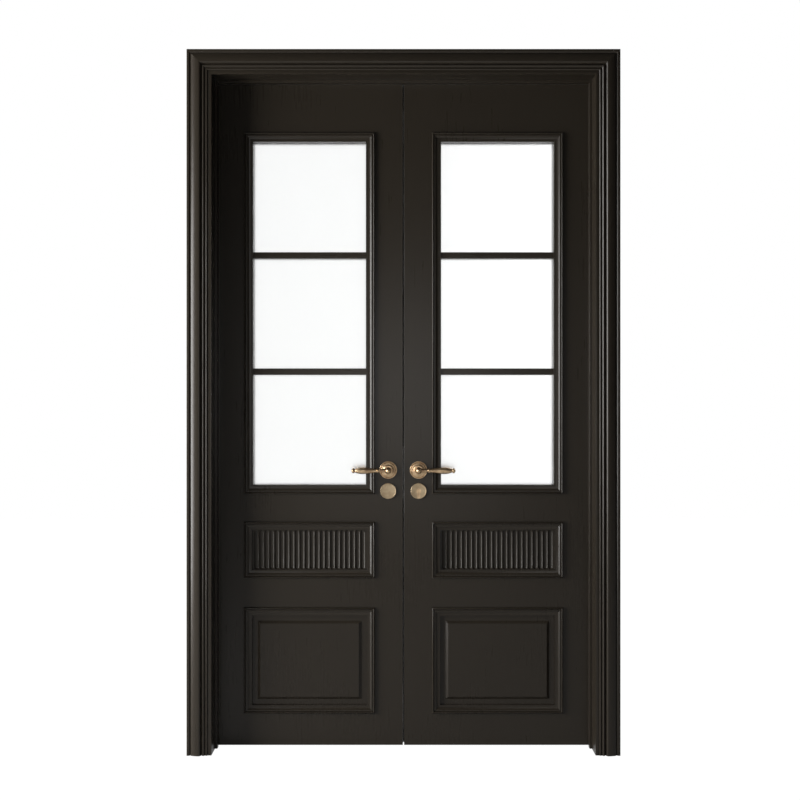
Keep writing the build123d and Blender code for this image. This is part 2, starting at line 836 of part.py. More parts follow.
def cylinder_and_turn():
    cylinder_front = leaf_front - escutcheon_height
    cylinder_rear = leaf_rear + escutcheon_height
    with BuildPart() as cylinder:
        with BuildSketch(face_plane(cylinder_rear)):
            with Locations((handle_x, cylinder_height)):
                euro_profile()
        extrude(amount=cylinder_rear - cylinder_front)
        with BuildSketch(face_plane(cylinder_front + keyway_depth)):
            with Locations((handle_x, cylinder_height)):
                Rectangle(keyway_width, keyway_height)
        extrude(amount=keyway_depth, mode=Mode.SUBTRACT)
        with BuildSketch(face_plane(cylinder_rear)):
            with Locations((handle_x, cylinder_height)):
                Circle(turn_stem_radius + turn_clearance)
        extrude(amount=turn_stem_length, mode=Mode.SUBTRACT)
    save(cylinder.part, "lock_cylinder")
    with BuildPart() as turn:
        with BuildSketch(face_plane(cylinder_rear - turn_stem_length + turn_gap, rear)):
            with Locations((-handle_x, cylinder_height)):
                Circle(turn_stem_radius)
        extrude(amount=turn_stem_length)
        with BuildSketch(face_plane(cylinder_rear + turn_gap, rear)):
            with Locations((-handle_x, cylinder_height)):
                Rectangle(turn_width, turn_height)
        extrude(amount=turn_reach - turn_gap)
        chamfer(turn.faces().sort_by(Axis.Y)[-1].edges(), edge_round)
    save(turn.part, "thumb_turn")


def flush_bolts():
    slot_length = flush_button_length + flush_travel + 2 * flush_rod_clearance
    slot_width = flush_button_width + 2 * flush_rod_clearance
    housings = []
    for name, throw, end in flush_places():
        plate_centre = end - throw * flush_plate_middle
        slot_start = plate_centre - throw * slot_length / 2
        bore_end = plate_centre + throw * flush_housing_length / 2
        rod_foot = slot_start + throw * flush_rod_clearance
        button_middle = rod_foot + throw * flush_button_length / 2
        with BuildPart() as housing:
            edge_block(left, meeting_face, flush_back, plate_centre, flush_plate_length, flush_plate_width)
            edge_block(
                left,
                flush_back,
                flush_back + flush_housing_depth,
                plate_centre,
                flush_housing_length,
                flush_housing_thickness,
            )
            with Locations((-flush_rod_x, leaf_middle, (slot_start + bore_end) / 2)):
                Cylinder(flush_rod_radius + flush_rod_clearance, abs(bore_end - slot_start), mode=Mode.SUBTRACT)
            edge_block(left, 0, flush_rod_x, plate_centre, slot_length, slot_width, Mode.SUBTRACT)
        housings.append(housing.part)
        with BuildPart() as rod:
            with Locations((-flush_rod_x, leaf_middle, (rod_foot + end) / 2)):
                Cylinder(flush_rod_radius, abs(end - rod_foot))
            edge_block(
                left,
                meeting_face + flush_button_inset,
                flush_rod_x,
                button_middle,
                flush_button_length,
                flush_button_width,
            )
        save(rod.part, f"flush_bolt_{name}")
    save(Compound(children=housings), "flush_bolt_housings")
    with BuildPart() as keep:
        with BuildSketch(Plane.XY.offset(doorway_height)):
            with Locations((-flush_rod_x, leaf_middle)):
                Rectangle(keep_length, keep_width)
                Circle(flush_rod_radius + keep_clearance, mode=Mode.SUBTRACT)
        extrude(amount=keep_thickness)
    save(keep.part, "flush_bolt_keep")


jambs()
stops_and_seals()
casings()
for leaf_side in (left, right):
    mouldings(leaf_side)
    glazing(leaf_side)
    fluted_panel(leaf_side)
    raised_panel(leaf_side)
    hinges(leaf_side)
    handles(leaf_side)
leaf_right()
leaf_left()
lock()
cylinder_and_turn()
flush_bolts()
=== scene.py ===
import math

import bpy
from mathutils import Matrix, Vector


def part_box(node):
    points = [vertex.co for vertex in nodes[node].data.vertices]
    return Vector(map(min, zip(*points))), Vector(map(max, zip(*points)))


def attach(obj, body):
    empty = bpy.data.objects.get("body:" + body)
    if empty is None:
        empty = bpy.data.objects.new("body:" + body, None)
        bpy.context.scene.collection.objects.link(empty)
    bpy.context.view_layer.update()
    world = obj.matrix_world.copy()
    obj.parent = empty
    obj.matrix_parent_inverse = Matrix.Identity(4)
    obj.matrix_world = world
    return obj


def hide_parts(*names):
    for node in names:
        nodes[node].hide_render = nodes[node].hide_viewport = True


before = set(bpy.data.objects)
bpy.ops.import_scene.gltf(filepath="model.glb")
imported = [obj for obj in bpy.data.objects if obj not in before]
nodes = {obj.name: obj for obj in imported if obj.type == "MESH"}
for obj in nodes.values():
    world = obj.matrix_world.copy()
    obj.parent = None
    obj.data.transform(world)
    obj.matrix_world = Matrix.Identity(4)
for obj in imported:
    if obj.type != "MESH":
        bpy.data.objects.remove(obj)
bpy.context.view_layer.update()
print("frame loaded:", len(nodes), "nodes")


# shader sockets that take part in ordinary sums
class Signal:
    def __init__(self, finish, socket):
        self.finish = finish
        self.socket = socket

    def sum(self, operation, first, second):
        return self.finish.node("ShaderNodeMath", {"operation": operation}, {0: first, 1: second})

    def __add__(self, other):
        return self.sum("ADD", self, other)

    def __radd__(self, other):
        return self.sum("ADD", other, self)

    def __rsub__(self, other):
        return self.sum("SUBTRACT", other, self)

    def __mul__(self, other):
        return self.sum("MULTIPLY", self, other)

    def __rmul__(self, other):
        return self.sum("MULTIPLY", other, self)


class Finish:
    def __init__(self, tree):
        self.tree = tree
        self.tree.nodes.clear()

    def node(self, kind, settings=None, inputs=None, output=0):
        made = self.tree.nodes.new(kind)
        for name, value in (settings or {}).items():
            if name == "stops":
                while len(made.color_ramp.elements) < len(value):
                    made.color_ramp.elements.new(0.5)
                for stop, (place, colour) in zip(made.color_ramp.elements, value):
                    stop.position = place
                    stop.color = (*colour, 1)
            else:
                setattr(made, name, value)
        for name, value in (inputs or {}).items():
            if isinstance(value, Signal):
                self.tree.links.new(value.socket, made.inputs[name])
            else:
                made.inputs[name].default_value = value
        return Signal(self, made.outputs[output]) if made.outputs else None

    def place(self, scale=(1, 1, 1)):
        coordinates = self.node("ShaderNodeTexCoord", output=3)
        return self.node("ShaderNodeMapping", inputs={"Vector": coordinates, "Scale": scale})

    def noise(self, scale, detail=3, stretch=(1, 1, 1), roughness=0.5):
        return self.node(
            "ShaderNodeTexNoise",
            inputs={"Vector": self.place(stretch), "Scale": scale, "Detail": detail, "Roughness": roughness},
        )

    def blend(self, mask, first, second):
        colours = {0: mask, 6: (*first, 1), 7: (*second, 1)}
        return self.node("ShaderNodeMix", {"data_type": "RGBA"}, colours, output=2)

    def bump(self, height, strength, distance):
        relief = {"Height": height, "Strength": strength, "Distance": distance}
        return self.node("ShaderNodeBump", inputs=relief)

    def surface(self, **sockets):
        inputs = {name.replace("_", " "): value for name, value in sockets.items()}
        for name, value in inputs.items():
            if name.endswith("Color") and not isinstance(value, Signal):
                inputs[name] = (*value, 1)
        return self.node("ShaderNodeBsdfPrincipled", inputs=inputs)

    def output(self, shader):
        self.node("ShaderNodeOutputMaterial", inputs={"Surface": shader})


def newFinish(name):
    material = bpy.data.materials.new(name)
    material.use_nodes = True
    return material, Finish(material.node_tree)


# finishes
paint = {
    "dark": (0.0160, 0.0127, 0.0088),
    "light": (0.0220, 0.0176, 0.0127),
    "roughness": 0.28,
    "roughnessSpread": 0.08,
    "specular": 0.21,
    "grainDepth": 0.00008,
    "peelDepth": 0.00004,
}


def paintedTimber(name, grainAxis):
    material, finish = newFinish(name)
    along = [14, 14, 14]
    along["xyz".index(grainAxis)] = 0.9
    clouds = finish.noise(2.5, detail=2)
    grain = finish.noise(9, detail=6, stretch=tuple(along), roughness=0.6)
    peel = finish.noise(420, detail=2)
    colour = finish.blend(0.55 * clouds + 0.45 * grain, paint["dark"], paint["light"])
    roughness = paint["roughness"] - paint["roughnessSpread"] / 2 + paint["roughnessSpread"] * (
        0.6 * clouds + 0.4 * grain
    )
    height = grain * paint["grainDepth"] + peel * paint["peelDepth"]
    finish.output(
        finish.surface(
            Base_Color=colour,
            Roughness=roughness,
            Specular_IOR_Level=paint["specular"],
            Normal=finish.bump(height, 0.35, 1.0),
        )
    )
    return material


metals = {
    "antiqueBrass": {
        "dark": (0.24, 0.140, 0.078),
        "light": (0.60, 0.44, 0.27),
        "roughness": 0.27,
        "spread": 0.16,
    },
    "agedBronze": {
        "dark": (0.30, 0.215, 0.130),
        "light": (0.44, 0.345, 0.225),
        "roughness": 0.42,
        "spread": 0.14,
    },
    "hingeBronze": {
        "dark": (0.10, 0.060, 0.036),
        "light": (0.30, 0.20, 0.12),
        "roughness": 0.38,
        "spread": 0.14,
    },
    "lockSteel": {
        "dark": (0.36, 0.35, 0.34),
        "light": (0.60, 0.59, 0.57),
        "roughness": 0.30,
        "spread": 0.12,
    },
}


def metal(name, stretch=(1, 1, 1)):
    look = metals[name]
    material, finish = newFinish(name)
    patina = finish.noise(38, detail=5, roughness=0.62)
    brushing = finish.noise(900, detail=2, stretch=stretch)
    wornStops = [(0.30, (0, 0, 0)), (0.62, (1, 1, 1))]
    mask = finish.node("ShaderNodeValToRGB", {"stops": wornStops}, {"Fac": patina})
    roughness = look["roughness"] + look["spread"] * (1 - patina)
    finish.output(
        finish.surface(
            Base_Color=finish.blend(mask, look["dark"], look["light"]),
            Metallic=1.0,
            Roughness=roughness,
            Normal=finish.bump(brushing, 0.10, 0.0002),
        )
    )
    return material


def satinGlass():
    material, finish = newFinish("satinGlass")
    waves = finish.noise(5, detail=1)
    finish.output(
        finish.surface(
            Base_Color=(0.990, 0.998, 0.994),
            Roughness=0.42,
            IOR=1.45,
            Transmission_Weight=1.0,
            Normal=finish.bump(waves, 0.04, 0.001),
        )
    )
    return material


def speckled(name, first, second, scale, roughness):
    material, finish = newFinish(name)
    speckle = finish.noise(scale, detail=3)
    finish.output(
        finish.surface(
            Base_Color=finish.blend(speckle, first, second),
            Roughness=roughness + 0.15 * speckle,
            Normal=finish.bump(speckle, 0.3, 0.0004),
        )
    )
    return material


uprightPaint = paintedTimber("uprightPaint", "z")
levelPaint = paintedTimber("levelPaint", "x")
antiqueBrass = metal("antiqueBrass")
agedBronze = metal("agedBronze")
hingeBronze = metal("hingeBronze")
lockSteel = metal("lockSteel", stretch=(1, 1, 0.05))
glass = satinGlass()
sealRubber = speckled("sealRubber", (0.016, 0.014, 0.012), (0.030, 0.026, 0.022), 250, 0.6)
# near-black pile colour: partly the pile's own dark tone, partly painted shade standing in for the shadow in
# the meeting gap
pileAndGapShade = speckled("pileAndGapShade", (0.006, 0.005, 0.004), (0.016, 0.014, 0.011), 900, 0.8)

dressing = (
    (levelPaint, ("casing_front_head", "casing_rear_head", "jamb_head", "stop_head")),
    (levelPaint, ("glazing_bars",)),
    (uprightPaint, ("casing", "jamb", "stop", "leaf_slab", "fluted", "raised", "glass_moulding")),
    (glass, ("glass_pane",)),
    (antiqueBrass, ("levers", "roses", "thumb_turn", "lock_cylinder")),
    (agedBronze, ("escutcheons",)),
    (hingeBronze, ("hinge",)),
    (sealRubber, ("frame_seal",)),
    (lockSteel, ("",)),
)


def dress(piece, material):
    piece.data.materials.clear()
    piece.data.materials.append(material)


for nodeName, node in nodes.items():
    for material, starts in dressing:
        if nodeName.startswith(starts):
            dress(node, material)
            break
print("finishes ready")


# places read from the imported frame
def middle(nodeName):
    low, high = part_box(nodeName)
    return (Vector(low) + Vector(high)) / 2


def corners(nodeName):
    low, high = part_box(nodeName)
    return Vector(low), Vector(high)


leafFront = corners("leaf_slab_right")[0].y
leafRear = corners("leaf_slab_right")[1].y
leafMiddle = (leafFront + leafRear) / 2
handleX = middle("roses_right").x
handleZ = middle("roses_right").z
cylinderZ = middle("escutcheons_right").z
bodyOfSide = {"left": "leaf_left", "right": "leaf_right"}
signOfSide = {"left": -1, "right": 1}
faceFront = (math.radians(90), 0, 0)
faceRear = (math.radians(-90), 0, 0)


# modelling moves
def onlyThis(piece):
    bpy.ops.object.select_all(action="DESELECT")
    piece.select_set(True)
    bpy.context.view_layer.objects.active = piece


def openMesh(piece):
    onlyThis(piece)
    bpy.ops.object.mode_set(mode="EDIT")
    bpy.ops.mesh.select_mode(type="FACE")
    bpy.ops.mesh.select_all(action="SELECT")


def closeMesh():
    bpy.ops.object.mode_set(mode="OBJECT")


def pickFaces(piece, wanted):
    # vertices and edges left selected would be drawn along with the picked faces
    bpy.ops.mesh.select_all(action="DESELECT")
    bpy.ops.object.mode_set(mode="OBJECT")
    for face in piece.data.polygons:
        face.select = wanted(face)
    bpy.ops.object.mode_set(mode="EDIT")


def mended(piece):
    openMesh(piece)
    bpy.ops.mesh.remove_doubles(threshold=0.00001)
    bpy.ops.mesh.select_all(action="SELECT")
    bpy.ops.mesh.normals_make_consistent(inside=False)
    closeMesh()
    return piece


def smoothed(piece, degrees=32):
    onlyThis(piece)
    bpy.ops.object.shade_smooth_by_angle(angle=math.radians(degrees))
    return piece


def applied(piece, kind, **settings):
    onlyThis(piece)
    change = piece.modifiers.new(kind, kind)
    for name, value in settings.items():
        setattr(change, name, value)
    bpy.ops.object.modifier_apply(modifier=change.name)
    return piece


def copied(model, name, place=(0, 0, 0), turn=(0, 0, 0), mirror=(1, 1, 1)):
    onlyThis(model)
    bpy.ops.object.duplicate(linked=False)
    piece = bpy.context.object
    piece.name = name
    piece.scale = mirror
    piece.rotation_euler = turn
    piece.location = place
    bpy.ops.object.transform_apply(location=True, rotation=True, scale=True)
    if min(mirror) < 0:
        mended(piece)
    return piece


def settled(piece, body, slot, material, *replaced):
    dress(piece, material)
    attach(piece, body)
    if replaced:
        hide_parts(*replaced)
    return piece


def cutAway(piece, point, normal):
    # takes off what lies on the side that the normal points to
    openMesh(piece)
    bpy.ops.mesh.bisect(plane_co=point, plane_no=normal, use_fill=True, clear_outer=True)
    closeMesh()


def curve(start, end, bulge, steps=6):
    # points of a shallow arc from start to end, bulging to the left of the way
    startPoint, endPoint = Vector(start), Vector(end)
    way = endPoint - startPoint
    side = Vector((-way.y, way.x)).normalized() * bulge
    return [
        tuple(startPoint + way * (step / steps) + side * math.sin(math.pi * step / steps))
        for step in range(1, steps + 1)
    ]


def turned(name, profile, segments=48):
    # a lathe: a filled circle drawn out from height to height along z, at each radius in turn
    height, radius = profile[0]
    bpy.ops.object.select_all(action="DESELECT")
    bpy.ops.mesh.primitive_circle_add(
        vertices=segments, radius=radius, fill_type="NGON", location=(0, 0, height)
    )
    piece = bpy.context.object
    piece.name = name
    bpy.ops.object.transform_apply()
    openMesh(piece)
    for nextHeight, nextRadius in profile[1:]:
        bpy.ops.mesh.extrude_region_move(TRANSFORM_OT_translate={"value": (0, 0, nextHeight - height)})
        share = nextRadius / radius
        bpy.ops.transform.resize(value=(share, share, 1), center_override=(0, 0, nextHeight))
        height, radius = nextHeight, nextRadius
    closeMesh()
    return mended(piece)


def ringRun(name, width, height, steps):
    # a mitred frame that faces +z: a rectangle drawn through (inward, level) steps and back to its start
    bpy.ops.object.select_all(action="DESELECT")
    bpy.ops.mesh.primitive_plane_add(size=1)
    piece = bpy.context.object
    piece.name = name
    piece.scale = (width, height, 1)
    bpy.ops.object.transform_apply()
    openMesh(piece)
    inward, level = 0, 0
    for nextInward, nextLevel in (*steps, (0, 0)):
        bpy.ops.mesh.extrude_region_move(TRANSFORM_OT_translate={"value": (0, 0, nextLevel - level)})
        acrossShare = (width - 2 * nextInward) / (width - 2 * inward)
        upShare = (height - 2 * nextInward) / (height - 2 * inward)
        bpy.ops.transform.resize(value=(acrossShare, upShare, 1), center_override=(0, 0, nextLevel))
        inward, level = nextInward, nextLevel
    pickFaces(piece, lambda face: abs(face.normal.z) > 0.99 and face.area > 0.98 * width * height)
    bpy.ops.mesh.delete(type="FACE")
    closeMesh()
    return mended(piece)


# casings: fillet, two beads, quirk, cushion and rim, mitred at the upper corners
casing = {
    "width": 0.082,
    "rim": (0.008, 0.016),
    "groove": (0.0125, 0.0115),
    "crest": (0.0420, 0.022),
    "cushionSteps": 14,
    "quirk": ((0.0436, 0.0212), (0.0482, 0.0140), (0.0486, 0.0116), (0.0496, 0.0116)),
    "bead": (0.0612, 0.0125),
    "beadBulge": 0.0064,
    "smallBead": (0.0702, 0.0110),
    "smallBeadBulge": 0.0042,
    "filletLevel": 0.012,
    "belowFloor": 0.20,
    "arris": 0.0004,
}


def casingSteps():
    steps = [(0, casing["rim"][1]), casing["rim"], casing["groove"]]
    grooveInward, grooveLevel = casing["groove"]
    crestInward, crestLevel = casing["crest"]
    for number in range(1, casing["cushionSteps"] + 1):
        turn = math.pi / 2 * number / casing["cushionSteps"]
        steps.append(
            (
                grooveInward + (crestInward - grooveInward) * (1 - math.cos(turn)) ** 0.9,
                grooveLevel + (crestLevel - grooveLevel) * math.sin(turn) ** 0.9,
            )
        )
    steps += casing["quirk"]
    steps += curve(casing["quirk"][-1], casing["bead"], casing["beadBulge"], 10)
    steps += curve(casing["bead"], casing["smallBead"], casing["smallBeadBulge"], 8)
    steps.append((casing["smallBead"][0] + 0.0006, casing["filletLevel"]))
    return [*steps, (casing["width"], casing["filletLevel"]), (casing["width"], 0)]


def makeCasings():
    for face, direction in (("front", -1), ("rear", 1)):
        low, high = corners(f"casing_{face}_head")
        wall = high.y if face == "front" else low.y
        width, top = high.x - low.x, high.z
        height = top + casing["belowFloor"]
        ring = ringRun("casingRing", width, height, casingSteps())
        applied(ring, "BEVEL", width=casing["arris"], segments=2, limit_method="ANGLE", angle_limit=0.7)
        smoothed(ring)
        turn = (math.radians(90), 0, 0 if face == "front" else math.pi)
        ring = copied(ring, "casingModel", place=(0, wall, top - height / 2), turn=turn)
        cutAway(ring, (0, wall, 0), (0, 0, -1))
        inner, corner = width / 2 - casing["width"], top - casing["width"]
        head = copied(ring, f"casingHead_{face}")
        cutAway(head, (-inner, wall, corner), (-1, 0, -1))
        cutAway(head, (inner, wall, corner), (1, 0, -1))
        settled(smoothed(head), "frame", "frame_paint", levelPaint, f"casing_{face}_head")
        for side, sign in signOfSide.items():
            leg = copied(ring, f"casingLeg_{face}_{side}")
            cutAway(leg, (sign * inner, wall, corner), (-sign, 0, 1))
            cutAway(leg, (0, wall, 0), (-sign, 0, 0))
            settled(smoothed(leg), "frame", "frame_paint", uprightPaint, f"casing_{face}_{side}")
        bpy.data.objects.remove(ring)
        bpy.data.objects.remove(bpy.data.objects["casingRing"])


# planted mouldings: outer bead, quirk, shelf, cove and a fillet at the sight edge
moulding = {
    "side": 0.005,
    "bead": (0.0072, 0.0046),
    "beadBulge": 0.0049,
    "quirk": (0.0084, 0.0046),
    "shelf": (0.0088, 0.0072),
    "coveTop": (0.0120, 0.0070),
    "coveEnd": 0.025,
    "filletLevel": 0.002,
    "coveBulge": 0.0013,
    "leg": 0.010,
    "fillet": {"glass": 0.006, "fluted": 0.0025, "raised": 0.0025},
}


def makeMouldings():
    for kind, fillet in moulding["fillet"].items():
        low, high = corners(f"{kind}_moulding_front_right")
        width, height = high.x - low.x, high.z - low.z
        seat = high.y - leafFront
        sight = moulding["coveEnd"] + fillet
        steps = [(0, moulding["side"])]
        steps += curve(steps[-1], moulding["bead"], moulding["beadBulge"], 8)
        steps += [moulding["quirk"], moulding["shelf"], moulding["coveTop"]]
        coveFoot = (moulding["coveEnd"], moulding["filletLevel"])
        steps += curve(moulding["coveTop"], coveFoot, -moulding["coveBulge"], 8)
        steps += [(sight, moulding["filletLevel"]), (sight, -seat), (sight - moulding["leg"], -seat)]
        steps += [(sight - moulding["leg"], 0)]
        model = smoothed(ringRun("mouldingModel", width, height, steps))
        for side, sign in signOfSide.items():
            centre = Vector((sign * (low.x + high.x) / 2, 0, (low.z + high.z) / 2))
            for face, level, turn in (("front", leafFront, 0), ("rear", leafRear, math.pi)):
                piece = copied(
                    model,
                    f"{kind}Moulding_{face}_{side}",
                    place=(centre.x, level, centre.z),
                    turn=(math.radians(90), 0, turn),
                )
                node = f"{kind}_moulding_{face}_{side}"
                settled(piece, bodyOfSide[side], "leaf_paint", uprightPaint, node)
        bpy.data.objects.remove(model)


# fluted panels, cut with a ball-ended cutter whose widest line stands just clear of the face
flutes = {
    "count": 22,
    "sideMargin": 0.0064,
    "endMargin": 0.0015,
    "land": 0.0012,
    "depth": 0.0042,
    "rebate": 0.009,
    "clear": 0.00005,
}


def makeFlutedPanels():
    low, high = corners("fluted_panel_right")
    size, centre = high - low, (low + high) / 2
    bpy.ops.object.select_all(action="DESELECT")
    bpy.ops.mesh.primitive_cube_add(size=1, location=centre, scale=size)
    panel = bpy.context.object
    panel.name = "flutedModel"
    bpy.ops.object.transform_apply()
    sightWidth = size.x - 2 * flutes["rebate"]
    sightHeight = size.z - 2 * flutes["rebate"]
    pitch = (sightWidth - 2 * flutes["sideMargin"]) / flutes["count"]
    halfFlute = (pitch - flutes["land"]) / 2
    reach = sightHeight / 2 - flutes["endMargin"] - halfFlute
    firstX = centre.x - pitch * (flutes["count"] - 1) / 2
    bpy.ops.mesh.primitive_uv_sphere_add(
        segments=24,
        ring_count=12,
        radius=1,
        location=(firstX, low.y - flutes["clear"], centre.z - reach),
        scale=(halfFlute, flutes["depth"] + flutes["clear"], halfFlute),
    )
    cutter = bpy.context.object
    bpy.ops.object.transform_apply()
    openMesh(cutter)
    pickFaces(cutter, lambda face: face.center.z > centre.z - reach)
    bpy.ops.mesh.extrude_region_move(TRANSFORM_OT_translate={"value": (0, 0, 2 * reach)})
    closeMesh()
    mended(cutter)
    applied(cutter, "ARRAY", count=flutes["count"], use_relative_offset=False, use_constant_offset=True,
            constant_offset_displace=(pitch, 0, 0))
    rearCutter = copied(cutter, "rearCutter", place=(0, high.y - low.y + 2 * flutes["clear"], 0))
    for tool in (cutter, rearCutter):
        applied(panel, "BOOLEAN", operation="DIFFERENCE", solver="EXACT", object=tool)
        bpy.data.objects.remove(tool)
    smoothed(panel, 40)
    for side, sign in signOfSide.items():
        piece = copied(panel, f"flutedPanel_{side}", place=((sign - 1) * centre.x, 0, 0))
        settled(piece, bodyOfSide[side], "leaf_paint", uprightPaint, f"fluted_panel_{side}")
    bpy.data.objects.remove(panel)


# a rose with a rolled rim, a step and a dished face that rises to a collar
rose = {
    "rim": [
        (0.0, 0.0300),
        (0.0026, 0.0300),
        (0.0034, 0.0297),
        (0.0039, 0.0288),
        (0.0040, 0.0276),
        (0.0036, 0.0264),
    ],
    "step": [(0.0028, 0.0256), (0.0030, 0.0248), (0.0046, 0.0240), (0.0052, 0.0230)],
    "dish": ((0.0052, 0.0230), (0.0074, 0.0150)),
    "dishSteps": 6,
    "dishCurve": 2.2,
    "collar": [(0.0092, 0.0148), (0.0099, 0.0142), (0.0100, 0.0132), (0.0100, 0.0092), (0.0030, 0.0092)],
}


def makeRoses():
    profile = rose["rim"] + rose["step"]
    (startLevel, startRadius), (endLevel, endRadius) = rose["dish"]
    for number in range(1, rose["dishSteps"] + 1):
        share = number / rose["dishSteps"]
        level = startLevel + (endLevel - startLevel) * share ** rose["dishCurve"]
        profile.append((level, startRadius + (endRadius - startRadius) * share))
    model = smoothed(turned("roseModel", profile + rose["collar"], 72))
    for side, sign in signOfSide.items():
        front = copied(model, "roseFront", (sign * handleX, leafFront, handleZ), faceFront)
        rear = copied(model, f"roses_{side}_turned", (sign * handleX, leafRear, handleZ), faceRear)
        front.select_set(True)
        bpy.ops.object.join()
        settled(rear, bodyOfSide[side], "antique_brass", antiqueBrass, f"roses_{side}")
    bpy.data.objects.remove(model)


# levers: a waisted neck with a round bulb, and a turned grip with a cuff, a swell and a knob
lever = {
    "neck": [(0.001, 0.0090), (0.0124, 0.0090), (0.0134, 0.0086), (0.0140, 0.0076)],
    "waistStart": (0.014, 0.0076),
    "waistLength": 0.0215,
    "waistDraw": 0.0013,
    "waistTurn": 1.4,
    "bulbCentre": 0.048,
    "bulb": (0.0105, 0.0140),
    "bulbTurn": (-50, 89),
    "gripNeck": [(0.002, 0.0062), (0.012, 0.0062), (0.020, 0.0053), (0.031, 0.0052)],
    "cuff": [(0.0320, 0.0060), (0.0326, 0.0070), (0.0350, 0.0073), (0.0374, 0.0070), (0.0380, 0.0060)],
    "swellStart": 0.039,
    "swellFull": 0.088,
    "swellEnd": 0.1125,
    "thinRadius": 0.0058,
    "fullRadius": 0.0110,
    "endRadius": 0.0052,
    "swellCurve": 1.25,
    "endCurve": 0.72,
    "knob": [(0.1132, 0.0050), (0.1142, 0.0074), (0.1160, 0.0084), (0.1185, 0.0086), (0.1205, 0.0078)],
    "tip": [(0.1212, 0.0058), (0.1226, 0.0050), (0.1236, 0.0036), (0.1240, 0.0012)],
}


def neckProfile():
    profile = list(lever["neck"])
    bulbRadius, bulbReach = lever["bulb"]
    waistLevel, waistRadius = lever["waistStart"]
    for number in range(1, 7):
        share = number / 6
        draw = lever["waistDraw"] * math.sin(math.pi / 2 * min(1, share * lever["waistTurn"]))
        profile.append((waistLevel + lever["waistLength"] * share, waistRadius - draw))
    firstTurn, lastTurn = lever["bulbTurn"]
    for number in range(19):
        turn = math.radians(firstTurn + (lastTurn - firstTurn) * number / 18)
        profile.append((lever["bulbCentre"] + bulbReach * math.sin(turn), bulbRadius * math.cos(turn)))
    return profile


def gripProfile():
    profile = lever["gripNeck"] + lever["cuff"]
    thin, full, end = lever["thinRadius"], lever["fullRadius"], lever["endRadius"]
    for number in range(15):
        share = number / 14
        along = lever["swellStart"] + (lever["swellFull"] - lever["swellStart"]) * share
        profile.append((along, thin + (full - thin) * math.sin(math.pi / 2 * share) ** lever["swellCurve"]))
    for number in range(1, 9):
        share = number / 8
        along = lever["swellFull"] + (lever["swellEnd"] - lever["swellFull"]) * share
        profile.append((along, end + (full - end) * math.cos(math.pi / 2 * share) ** lever["endCurve"]))
    return profile + lever["knob"] + lever["tip"]


def makeLevers():
    neck = turned("leverModel", neckProfile(), 56)
    grip = turned("gripModel", gripProfile(), 56)
    grip = copied(grip, "gripTurned", place=(0, 0, lever["bulbCentre"]), turn=(0, math.radians(90), 0))
    applied(neck, "BOOLEAN", operation="UNION", solver="EXACT", object=grip)
    bpy.data.objects.remove(grip)
    bpy.data.objects.remove(bpy.data.objects["gripModel"])
    smoothed(neck, 38)
    for side, sign in signOfSide.items():
        mirror = (sign, 1, 1)
        front = copied(neck, "leverFront", (sign * handleX, leafFront, handleZ), faceFront, mirror)
        rear = copied(neck, f"levers_{side}_turned", (sign * handleX, leafRear, handleZ), faceRear, mirror)
        front.select_set(True)
        bpy.ops.object.join()
        settled(rear, f"lever_{side}", "antique_brass", antiqueBrass, f"levers_{side}")
    bpy.data.objects.remove(neck)


# escutcheons with a rolled rim round a flat face, opened for the cylinder or pressed with its outline
escutcheon = {
    "profile": [(0.0, 0.02725), (0.0040, 0.02725), (0.0052, 0.0268), (0.0059, 0.0260), (0.0060, 0.0250),
                (0.0056, 0.0242), (0.0054, 0.0232)],
    "height": 0.006,
    "circleRadius": 0.00865,
    "tailWidth": 0.0103,
    "tailDrop": 0.02465,
    "blindDepth": 0.001,
    "throughBelow": 0.001,
    "cutterAbove": 0.002,
}


def profileCutter(depth):
    reach = depth + escutcheon["cutterAbove"]
    bpy.ops.object.select_all(action="DESELECT")
    level = escutcheon["height"] - depth + reach / 2
    bpy.ops.mesh.primitive_cylinder_add(
        vertices=48, radius=escutcheon["circleRadius"], depth=reach, location=(0, 0, level)
    )
    cutter = bpy.context.object
    bpy.ops.object.transform_apply()
    drop = escutcheon["tailDrop"]
    bpy.ops.mesh.primitive_cube_add(
        size=1,
        location=(0, -drop / 2, level),
        scale=(escutcheon["tailWidth"], drop, reach),
    )
    tail = bpy.context.object
    bpy.ops.object.transform_apply()
    applied(cutter, "BOOLEAN", operation="UNION", solver="EXACT", object=tail)
    bpy.data.objects.remove(tail)
    return cutter


def makeEscutcheons():
    for side, sign in signOfSide.items():
        model = turned("escutcheonModel", escutcheon["profile"], 72)
        through = escutcheon["height"] + escutcheon["throughBelow"]
        cutter = profileCutter(through if side == "right" else escutcheon["blindDepth"])
        applied(model, "BOOLEAN", operation="DIFFERENCE", solver="EXACT", object=cutter)
        bpy.data.objects.remove(cutter)
        smoothed(model)
        place = (sign * handleX, leafFront, cylinderZ)
        front = copied(model, "escutcheonFront", place, faceFront)
        place = (sign * handleX, leafRear, cylinderZ)
        rear = copied(model, f"escutcheons_{side}_turned", place, (math.radians(90), 0, math.pi))
        front.select_set(True)
        bpy.ops.object.join()
        settled(rear, bodyOfSide[side], "aged_bronze", agedBronze, f"escutcheons_{side}")
        bpy.data.objects.remove(model)


# countersunk screws with a straight slot, on hinges, forend and strike
screw = {
    "headRadius": 0.0040,
    "headRise": 0.0003,
    "slotWidth": 0.0009,
    "slotDepth": 0.0011,
    "sunk": 0.0015,
    "plateFaces": {"frame": 0.640, "leaf": 0.637},
    "halfPlate": 0.05,
    "platePlaces": ((-0.036, 0.009), (-0.013, 0.022), (0.013, 0.009), (0.036, 0.022)),
    "fromEnd": 0.010,
}


